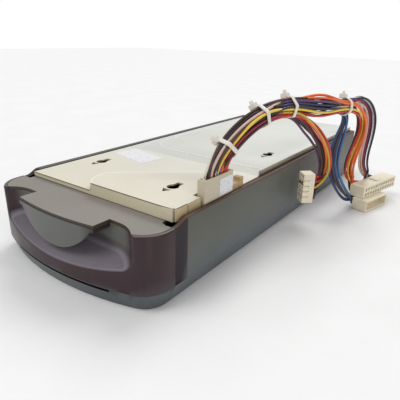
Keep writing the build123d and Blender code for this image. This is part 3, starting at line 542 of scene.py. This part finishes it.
def frames(line):
    """At each point of a line: the point, the way to the camera's side, and the way outwards."""
    made = []
    for k, point in enumerate(line):
        ahead = (line[min(k + 1, len(line) - 1)] - line[max(k - 1, 0)]).normalized()
        near = camera_place - point
        near = (near - ahead * near.dot(ahead)).normalized()
        made.append((point, near, near.cross(ahead).normalized()))
    return made


def smoothed(line, rounds, keep=2):
    """A line with its kinks taken out; its ends stay."""
    for _ in range(rounds):
        middle = [(a + b * 2 + c) / 4 for a, b, c in zip(line, line[1:], line[2:])]
        line = line[:keep] + middle[keep - 1:len(middle) - keep + 1] + line[-keep:]
    return line


def lattice(count):
    """Close-packed places for so many wires, one apart, from the middle outwards."""
    middle = (0.13, -0.07)       # a little off the centre, so that no two places tie
    places = [(column + 0.5 * (row % 2), row * math.sqrt(3) / 2)
              for row in range(-5, 6) for column in range(-6, 7)]
    places.sort(key=lambda p: (p[0] - middle[0]) ** 2 + (p[1] - middle[1]) ** 2)
    return places[:count]


# ---------------------------------------------------------------- the covers' bends
cover_front_y = -0.124
panel_top = 0.0506
rear_top = 0.0496
bend_radius = 0.0005
fold_radius = 0.00024
bend_corners = {
    "panel_bend_highlight": [(-0.0015, cover_front_y), (-0.0085, -0.117), (-0.0105, -0.1045),
                   (0.0353, -0.0652), (0.0560, -0.0652)],
    "rear_bend_highlight": [(-0.0425, 0.1525), (-0.0425, -0.0310), (0.0604, -0.0310)],
    "front_fold": [(-0.0575, cover_front_y), (-0.0030, cover_front_y)],
    "panel_fold": [(-0.0015, cover_front_y), (0.0608, cover_front_y), (0.0608, -0.1135)],
}

# each bend: name, height, radius, material, slot
# the pale bends are painted highlights along the pressed steps; the dark folds are seams darkened
# with painted shade
bends = (
    ("panel_bend_highlight", panel_top - 0.0004, bend_radius, "bend", "cream_sheet"),
    ("rear_bend_highlight", rear_top - 0.0004, bend_radius, "rear_bend_highlight", "grey_sheet"),
    ("front_fold", 0.0459, fold_radius, "edge", "cream_sheet"),
    ("panel_fold", panel_top - 0.0001, fold_radius, "edge", "cream_sheet"),
)


def cover_bends():
    """Pale tubes along the covers' pressed steps, a painted highlight where the bends catch the
    light, and dark tubes along the folds at their fronts, a seam darkened with painted shade.
    """
    for name, height, radius, material, slot in bends:
        corners = [Vector((x, y, height)) for x, y in bend_corners[name]]
        line = [a.lerp(b, t / 8) for a, b in zip(corners, corners[1:]) for t in range(8)]
        line.append(corners[-1])
        work = bmesh.new()
        add_tube(work, smoothed(line, 2), radius, 10)
        made = linked(name, finished(work, name))
        made.data.materials.append(materials[material])


# ---------------------------------------------------------------- the harness: wires
wire_colours = {
    "cream": (226, 216, 196), "brown": (74, 50, 44), "black": (34, 31, 34),
    "pink": (222, 186, 176), "yellow": (236, 204, 74), "mauve": (146, 36, 66),
    "red": (208, 54, 40), "orange": (240, 112, 42), "navy": (48, 54, 104),
    "blue": (52, 96, 150), "purple": (92, 54, 92), "grey": (150, 150, 156),
    "white": (226, 226, 232), "olive": (196, 176, 52),
}
colour_names = list(wire_colours)

# each wire: colour, branch, then where it prefers to lie at ties 1 to 3, between ties 3 and 4,
# and at tie 4: (towards the viewer, outwards) in bundle radii
wires = [
    ("yellow", "middle", (1.1, -.4), (1.2, -.2), (1., -.5), (.9, -.6), (1., -.2)),
    ("pink", "outer", (1., .25), (1., .45), (.5, .9), (.2, .7), (-.2, .5)),
    ("cream", "outer", (.4, 1.), (.4, 1.), (.1, 1.), (.2, .5), (-.3, .3)),
    ("brown", "middle", (1., -.05), (1., .15), (.8, .5), (.5, .2), (.5, .1)),
    ("black", "lower", (.85, .5), (.8, .6), (.9, .2), (.9, .1), (.5, -.6)),
    ("brown", "small", (.6, .8), (.9, -.1), (.2, -1.1), None, None),
    ("brown", "outer", (.8, .7), (.6, .8), (.7, .65), (.5, .6), (.5, .5)),
    ("black", "outer", (.4, .9), (.4, .9), (.3, .9), (.3, 1.2), (.3, .8)),
    ("black", "middle", (.95, -.2), (1., -.4), (1., -.2), (.9, -.35), (.7, -.5)),
    ("mauve", "outer", (.2, -.9), (.3, -.9), (.2, .3), (.1, 1.1), (.3, 1.3)),
    ("mauve", "small", (.8, -.8), (.8, -.8), (.6, -1.2), None, None),
    ("purple", "small", (.7, -.9), (.6, -.9), (.4, -1.3), None, None),
    ("brown", "lower", (.8, -.65), (.8, -.6), (.9, .1), (.7, -.1), (.4, -.8)),
    ("black", "small", (.6, -.7), (.7, -.6), (.5, -1.15), None, None),
    ("red", "small", (-.2, -.9), (-.2, -.9), (.7, -.95), None, None),
    ("red", "small", (-.4, -.8), (-.4, -.8), (.5, -.9), None, None),
    ("red", "small", (-.5, -.7), (-.5, -.6), (.3, -.9), None, None),
    ("orange", "small", (-.7, -.5), (-.7, -.4), (.6, -.7), None, None),
    ("orange", "small", (-.6, -.5), (-.6, -.4), (.4, -.7), None, None),
    ("olive", "small", (-.8, -.2), (-.6, -.3), (.75, -.75), None, None),
    ("orange", "middle", (-.5, .5), (-.5, .6), (-.3, 1.), (.6, .8), (.9, .5)),
    ("orange", "middle", (-.3, .6), (-.3, .7), (-.2, 1.), (.75, .65), (1., .3)),
    ("orange", "middle", (-.7, .5), (-.6, .5), (-.4, .9), (.5, .95), (.8, .7)),
    ("red", "middle", (-.4, -.3), (-.3, -.3), (.2, -.5), (.7, -.9), (.8, -.7)),
    ("red", "middle", (-.3, -.5), (-.2, -.5), (.0, -.6), (.5, -1.), (.9, -.5)),
    ("purple", "middle", (.2, .7), (.3, .8), (.9, .45), (.9, .35), (.6, .2)),
    ("navy", "outer", (.1, .1), (.3, .1), (1., .0), (.95, -.1), (.3, .2)),
    ("white", "outer", (.0, .3), (.2, .3), (.7, .25), (.2, .1), (.1, .6)),
    ("navy", "outer", (.0, .2), (.2, .1), (.9, -.1), (.8, .1), (.6, .8)),
    ("blue", "lower", (-.2, .1), (-.2, .1), (-.3, .0), (.0, -.3), (.4, -1.1)),
    ("blue", "lower", (-.3, .3), (-.3, .3), (-.5, .1), (-.2, -.4), (-.2, -.9)),
    ("navy", "lower", (-.1, .5), (-.1, .4), (.8, -.2), (.9, -.2), (-.4, -.7)),
    ("blue", "lower", (-.6, .2), (-.6, .2), (-.6, .2), (-.5, -.3), (.4, -.9)),
    ("blue", "lower", (-.8, .1), (-.8, .0), (-.8, .0), (-.7, .0), (.2, -1.)),
    ("black", "lower", (-.5, -.1), (-.5, -.2), (.6, .0), (.8, -.1), (.3, -.7)),
    ("black", "outer", (-.3, .8), (-.3, .9), (-.4, .6), (.2, .8), (-.2, .6)),
]


def placed(wanted):
    """Each wire's place in a close-packed bundle, near where it prefers to be.

    The wires that lie nearest to the camera's side choose first."""
    free = lattice(len(wanted))
    size = max(math.hypot(*p) for p in free)
    order = sorted(range(len(wanted)), key=lambda k: -wanted[k][0] - 0.3 * math.hypot(*wanted[k]))
    found = {}
    for k in order:
        aim = (wanted[k][0] * size, wanted[k][1] * size)
        best = min(free, key=lambda p: (p[0] - aim[0]) ** 2 + (p[1] - aim[1]) ** 2)
        free.remove(best)
        found[k] = (best[0] * wire_radius * wire_spacing, best[1] * wire_radius * wire_spacing)
    return [found[k] for k in range(len(wanted))]


def ease(t):
    """A smooth step from 0 to 1."""
    t = min(max(t, 0.0), 1.0)
    return t * t * (3 - 2 * t)


def nearest(line, place):
    """The index of the point of a line that is nearest to a place."""
    return min(range(len(line)), key=lambda k: (line[k] - Vector(place)).length)


tie_places = [(0.0619, -0.0792, 0.0734), (0.0678, -0.0528, 0.0884), (0.0733, -0.029, 0.0918),
              (0.0881, 0.035, 0.0866)]
routes = {"small": small_route, "lower": lower_route, "middle": middle_route,
          "outer": outer_route}
trunk_line = evenly(spline_line("trunk_line", trunk_route), wire_step)
branch_lines = {name: evenly(spline_line(name + "_line", route), wire_step)
                for name, route in routes.items()}
tie_steps = [nearest(trunk_line, place) for place in tie_places]

# the steps along the trunk at which the wires' places are given, and the columns that give them
stations = [*tie_steps[:3], round((tie_steps[2] + tie_steps[3]) / 2), tie_steps[3]]
station_columns = range(2, 7)
loose_station = 3


connector_pitch = 4.2 * MM


def sockets(place, angle, ways, upright, reach):
    """Where wires enter a two-row connector, and the way that they come out of it."""
    turn = Matrix.Rotation(math.radians(angle), 3, "Z")
    made = []
    for k in range(ways):
        along = (k - (ways - 1) / 2) * connector_pitch
        for row in (-connector_pitch / 2, connector_pitch / 2):
            local = Vector((reach, row, along)) if upright else Vector((reach, along, row))
            made.append(Vector(place) + turn @ local)
    return made, turn @ Vector((1, 0, 0))


connector_sockets = {
    "small": sockets((0.0758, 0.0118, 0.0286), 45, 5, True, 0.00425),
    "upper": sockets((0.1049, 0.0936, 0.0145), 166.7, 12, False, 0.0064),
    "lower": sockets((0.1072, 0.0795, 0.0048), 165, 7, False, 0.0064),
}
branch_ends = {"small": "small", "lower": "lower", "middle": "upper", "outer": "upper"}


def bundle_spots():
    """For each station: each wire's place in the bundle there."""
    made = []
    for column in station_columns:
        chosen = [k for k, wire in enumerate(wires) if wire[column] is not None]
        made.append(dict(zip(chosen, placed([wires[k][column] for k in chosen]))))
    across, outwards = loose_spread
    made[loose_station] = {k: (a * across, b * outwards)
                           for k, (a, b) in made[loose_station].items()}
    return made


def pocket_places():
    """Each wire's place in the plug's pocket: two rows, filled from the outermost wire inwards."""
    columns = math.ceil(len(wires) / 2)
    order = sorted(range(len(wires)), key=lambda k: 0.02 * k - wires[k][2][1])
    made = {}
    for n, k in enumerate(order):
        row = n % 2
        y = pocket_start_y + pocket_length * (n // 2 + 0.5 * row) / columns
        made[k] = Vector((plug_middle_x + (row - 0.5) * pocket_gap, y, plug_top))
    return made


def leaving_plug(pocket, bundled, point, step):
    """A wire's place before the first tie: it runs from its pocket into the bundle."""
    lean = (point - trunk_line[0]) * 0.8
    return (pocket + lean).lerp(bundled, ease(step / stations[0]))


def trunk_part(k, pocket, spots, trunk_frames):
    """Wire k's line from the plug to the tie where it leaves the trunk."""
    last = tie_steps[2] if wires[k][1] == "small" else len(trunk_line) - 1
    line = []
    for step, (point, near, out) in enumerate(trunk_frames[:last + 1]):
        if step <= stations[0]:
            a, b = spots[0][k]
            line.append(leaving_plug(pocket, point + near * a + out * b, point, step))
            continue
        index = max(i for i, mark in enumerate(stations) if mark <= step)
        after = min(index + 1, len(stations) - 1)
        first = spots[index][k]
        second = spots[after].get(k, first)
        t = ease((step - stations[index]) / ((stations[after] - stations[index]) or 1))
        a = first[0] + (second[0] - first[0]) * t
        b = first[1] + (second[1] - first[1]) * t
        line.append(point + near * a + out * b)
    return line


def branch_parts(branch, members):
    """The lines of a branch's wires, from where they leave the trunk to its end."""
    base = frames(branch_lines[branch])
    starts = []
    for wire in members:
        away = wire["trunk"][-1] - base[0][0]
        starts.append((away.dot(base[0][1]), away.dot(base[0][2])))
    reach = max(math.hypot(*s) for s in starts)
    spots = placed([(a / reach, b / reach) for a, b in starts])
    across, outwards = branch_spread
    for wire, start, spot in zip(members, starts, spots):
        wire["line"] = []
        for step, (point, near, out) in enumerate(base):
            settle = ease(step * wire_step / settle_length)
            side = sway * math.sin(wire["phase"] + 5.0 * step / len(base)) * settle
            roll = sway * math.cos(wire["phase"] * 3 + 4.0 * step / len(base)) * settle
            a = start[0] + (spot[0] * across - start[0]) * settle + side
            b = start[1] + (spot[1] * outwards - start[1]) * settle + roll
            wire["line"].append(point + near * a + out * b)


def choose_sockets(branch, members, free):
    """A free socket for each of a branch's wires, near where it arrives."""
    line = branch_lines[branch]
    out = frames(line)[-fan_steps][2]
    places, way = connector_sockets[branch_ends[branch]]
    close = sorted(free, key=lambda j: (places[j] - line[-1]).length)[:len(members) + 2]
    for wire in sorted(members, key=lambda w: -(w["line"][-fan_steps] - line[-fan_steps]).dot(out)):
        end = wire["line"][-fan_steps]
        best = min(close, key=lambda j: (places[j] - end).length)
        close.remove(best)
        free.remove(best)
        wire["socket"] = places[best]
        wire["way"] = way


def whole_line(wire):
    """One wire's line from the plug to its socket, with its kinks smoothed out."""
    joined = wire["trunk"] + wire["line"][1:-fan_steps]
    lead = [wire["socket"] + wire["way"] * length for length in lead_lengths]
    bend = [joined[-1].lerp(lead[0], t) for t in (0.25, 0.5, 0.75)]
    return smoothed(joined + bend + lead, 14)


def wire_lines():
    """Every wire with its colour, its branch, its line and the step where it leaves the trunk."""
    chooser = random.Random(7)
    spots = bundle_spots()
    pocket = pocket_places()
    trunk_frames = frames(trunk_line)
    made = []
    for k, (colour, branch, *_) in enumerate(wires):
        made.append({"colour": colour, "branch": branch, "phase": chooser.uniform(0, 6.28),
                     "trunk": trunk_part(k, pocket[k], spots, trunk_frames)})
    free = {name: list(range(len(found[0]))) for name, found in connector_sockets.items()}
    for branch in branch_lines:
        members = [wire for wire in made if wire["branch"] == branch]
        branch_parts(branch, members)
        choose_sockets(branch, members, free[branch_ends[branch]])
    for wire in made:
        wire["whole"] = whole_line(wire)
        wire["leave"] = len(wire["trunk"]) - 1
    return made


def wires_mesh(name, lines):
    """A piece of several wires; each is a colour's name and its line."""
    work = bmesh.new()
    for colour, line in lines:
        add_tube(work, line, wire_radius, 9, colour_names.index(colour))
    made = linked(name, finished(work, name))
    for colour in colour_names:
        made.data.materials.append(wire_materials[colour])
    return made


def near_only(line, path, reach):
    """The part of a line from its start that stays within reach of a path."""
    kept = [line[0]]
    for point in line[1:]:
        if len(kept) > 4 and min((point - p).length for p in path) > reach:
            break
        kept.append(point)
    return kept


def trunk_piece(made):
    """The trunk of all the wires, and the wires' ends inside the plug."""
    piece = wires_mesh("harness_trunk", [(w["colour"], w["whole"][:w["leave"] + 1]) for w in made])
    sunk = wires_mesh("harness_plug_wires", [
        (w["colour"], [w["whole"][0] - Vector((0, 0, depth)) for depth in sunk_depths])
        for w in made])
    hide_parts("harness_trunk_lower", "harness_trunk_upper")


def branch_piece(name, members):
    """One branch of the harness, and the ends of its wires that fan out to its connector."""
    line = branch_lines[name]
    main = []
    ends = []
    for wire in members:
        rest = wire["whole"][wire["leave"]:]
        kept = near_only(rest, line, branch_reach)
        main.append((wire["colour"], kept))
        if len(kept) < len(rest):
            ends.append((wire["colour"], rest[len(kept) - 1:]))
    piece = wires_mesh("harness_" + name + "_wires", main)
    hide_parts("harness_" + name + "_branch")
    if ends:
        wires_mesh("harness_" + name + "_wire_ends", ends)


def harness():
    """The trunk and its four branches."""
    made = wire_lines()
    trunk_piece(made)
    for name in branch_lines:
        branch_piece(name, [wire for wire in made if wire["branch"] == name])


def wire_finish(name, colour):
    """Smooth insulation with a soft sheen and faint smears along it."""
    return finish("wire_" + name, colour, 0.36, grain=0.0004, variation=0.05, bump=0.04,
                  specular=0.5, patch=0.01)


# ---------------------------------------------------------------- the harness: cable ties
tie_half_width = 0.0012
tie_thick = 0.0009
tie_gap = 0.00012                # between the wires and the band
tie_head = (0.0048, 0.0040, 0.0032)
tie_tail = (0.0010, 0.0023, 0.0022)
head_lift = 0.0014               # the head's middle, above the outermost wire
head_shift = 0.0016              # and towards the far side
tail_lift = 0.0024               # the cut tail's middle, above the head's


def chain(points):
    """One side of the tightest loop round points that are sorted from left to right."""
    kept = []
    for p in points:
        while len(kept) > 1:
            (ax, ay), (bx, by) = kept[-2], kept[-1]
            if (bx - ax) * (p[1] - ay) - (by - ay) * (p[0] - ax) > 0:
                break
            kept.pop()
        kept.append(p)
    return kept[:-1]


def loop_round(spots):
    """The tightest loop round the wires at these places."""
    radius = wire_radius + tie_gap
    dots = sorted((a + radius * math.cos(angle), b + radius * math.sin(angle))
                  for a, b in spots for angle in (2 * math.pi * j / 10 for j in range(10)))
    return chain(dots) + chain(dots[::-1])


def tie_band(work, hull, centre, ahead, near, out):
    """The band round the wires, its outer edges taken off."""
    middle = Vector((sum(p[0] for p in hull) / len(hull), sum(p[1] for p in hull) / len(hull)))
    inner, outer = tie_half_width, tie_half_width * 0.7
    section = ((-inner, 0), (-inner, tie_thick * 0.7), (-outer, tie_thick),
               (outer, tie_thick), (inner, tie_thick * 0.7), (inner, 0))
    rings = []
    for a, b in hull:
        away = (Vector((a, b)) - middle).normalized()
        ring = []
        for along, outwards in section:
            p = Vector((a, b)) + away * outwards
            ring.append(work.verts.new(centre + near * p.x + out * p.y + ahead * along))
        rings.append(ring)
    for low, high in zip(rings, rings[1:] + rings[:1]):
        for j in range(6):
            face = work.faces.new((low[j], high[j], high[(j + 1) % 6], low[(j + 1) % 6]))
            face.smooth = True


def block(work, centre, turn, size):
    """A box of a size along the turned axes; returns its corners."""
    made = bmesh.ops.create_cube(work, size=1.0)["verts"]
    for v in made:
        v.co = centre + turn @ Vector([c * s for c, s in zip(v.co, size)])
    return made


def cable_tie(name, centre, ahead, near, out, spots):
    """A nylon band drawn round the wires, with its head and cut tail."""
    hull = loop_round(spots)
    work = bmesh.new()
    tie_band(work, hull, centre, ahead, near, out)
    turn = Matrix((near, ahead, out)).transposed()
    top = max(p[1] for p in hull)
    head_at = centre + out * (top + head_lift) - near * head_shift
    head = block(work, head_at, turn, tie_head)
    edges = list({e for v in head for e in v.link_edges})
    bmesh.ops.bevel(work, geom=edges, offset=0.0004, segments=2, affect="EDGES")
    block(work, head_at + out * tail_lift, turn, tie_tail)
    bmesh.ops.recalc_face_normals(work, faces=work.faces)
    made = linked(name, finished(work, name))
    made.data.materials.append(materials["tie"])
    return made


def cable_ties():
    """The four ties round the trunk, drawn to the wires that run through each."""
    made = []
    trunk_frames = frames(trunk_line)
    for number, (step, column) in enumerate(zip(tie_steps, (2, 3, 4, 6)), start=1):
        point, near, out = trunk_frames[step]
        ahead = out.cross(near).normalized()
        spots = placed([wire[column] for wire in wires if wire[column] is not None])
        made.append(cable_tie(f"cable_tie_{number}", point, ahead, near, out, spots))
    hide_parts("cable_ties")
    return made


# ---------------------------------------------------------------- the finishes
materials = {
    "bezel": finish("bezel_plastic", (56, 38, 43), 0.34, grain=0.0005, bump=0.10,
                    specular=0.32, tint=bezel_painted_light),
    "deck": finish("deck_plastic", (139, 134, 127), 0.6, grain=0.0005, bump=0.12,
                   variation=0.03, tint=deck_painted_edge_shade),
    "housing": finish("housing_plastic", (44, 34, 40), 0.42, grain=0.0005, bump=0.10,
                      specular=0.3, tint=housing_painted_light),
    "cover": finish("cream_paint", (226, 221, 204), 0.4, grain=0.0009, bump=0.04,
                    variation=0.015, tint=cover_colour_and_shade),
    "rear": finish("grey_paint", (220, 221, 214), 0.4, grain=0.0009, bump=0.04,
                   variation=0.015, tint=rear_side_shade),
    # dark line along the front cover's folds and edges: a seam, darkened with painted shade
    "edge": finish("dark_seam_shade", (92, 76, 54), 0.5, grain=0.0004),
    # painted highlights along the covers' pressed bends
    "bend": finish("cream_bend_highlight", (250, 248, 238), 0.32, grain=0.0009, bump=0.03,
                   variation=0.01),
    "rear_bend_highlight": finish("grey_bend_highlight", (246, 246, 240), 0.32, grain=0.0009, bump=0.03,
                        variation=0.01),
    "tie": finish("tie_nylon", (236, 230, 220), 0.4, grain=0.0006, variation=0.02),
    "ivory": finish("ivory_nylon", (240, 230, 205), 0.42, grain=0.0006, variation=0.025),
    "plug": finish("plug_nylon", (200, 190, 166), 0.45, grain=0.0006, variation=0.03),
    "header": finish("header_nylon", (178, 154, 110), 0.5, grain=0.0006, variation=0.06),
    "paper": finish("label_paper", (232, 231, 233), 0.6, grain=0.0004, variation=0.01,
                    tint=label_lines),
    "steel": finish("zinc_steel", (176, 176, 180), 0.3, metal=1.0, grain=0.0005),
    "brass": finish("brass", (190, 158, 90), 0.3, metal=1.0, grain=0.0005),
    "black": finish("black_plastic", (38, 37, 38), 0.5, grain=0.0005, bump=0.1),
    "rubber": finish("rubber", (44, 43, 44), 0.75, grain=0.0004, bump=0.2),
    "nylon": finish("natural_nylon", (232, 228, 214), 0.4, grain=0.0006, variation=0.03),
    "clear": finish("smoked_window", (120, 128, 134), 0.1, grain=0.001, variation=0.02),
    "board": finish("solder_mask", (30, 92, 54), 0.3, grain=0.0007, variation=0.08),
    "chip": finish("moulded_chip", (40, 40, 42), 0.5, grain=0.0005),
}
wire_materials = {name: wire_finish(name, colour) for name, colour in wire_colours.items()}

slot_materials = {
    "bezel_plastic": "bezel", "deck_plastic": "deck", "housing_plastic": "housing",
    "cream_sheet": "cover", "grey_sheet": "rear", "label_paper": "paper",
    "black_plastic": "black", "steel": "steel", "brass": "brass", "white_nylon": "nylon",
    "roller_rubber": "rubber", "clear_plastic": "clear", "board_green": "board",
    "component_black": "chip", "header_tan": "header", "plug_white": "plug",
    "connector_ivory": "ivory", "wire_bundle": "black",
}


def dress_nodes():
    """Each CAD node gets its slot's material."""
    for row in frame["record"]["subparts"]:
        mesh = nodes[row["node"]].data
        mesh.materials.clear()
        mesh.materials.append(materials[slot_materials[row["material_slot"]]])


# each rounded piece: node, width of the rounding, material, slot
rounded_nodes = (
    ("rear_cover", 0.0003, "rear", "grey_sheet"),
    ("bezel_shell", 0.0004, "bezel", "bezel_plastic"),
    ("lower_housing", 0.0004, "housing", "housing_plastic"),
    ("small_connector", 0.0005, "ivory", "connector_ivory"),
    ("upper_connector", 0.0005, "ivory", "connector_ivory"),
    ("lower_connector", 0.0005, "ivory", "connector_ivory"),
    ("harness_plug", 0.0003, "plug", "plug_white"),
    ("header_shroud", 0.0003, "header", "header_tan"),
)


def rounded_pieces():
    """The covers, the shells and the connectors, with their sharp edges rounded."""
    # the front cover's sharp edges take the dark edge finish: a seam line darkened with painted
    # shade
    softened("front_cover", 0.0005, "cover", angle=62, segments=1,
             edge_material="edge")
    for node, width, material, slot in rounded_nodes:
        softened(node, width, material)


# ---------------------------------------------------------------- the scene
scene.view_settings.view_transform = "Standard"
camera()
surroundings()
for name, place, strength, spread in suns:
    soft_sun(name, place, strength, spread)
pale_floor()
dress_nodes()
rounded_pieces()
cover_bends()
cable_tie_pieces = cable_ties()
stack_springs()
harness()
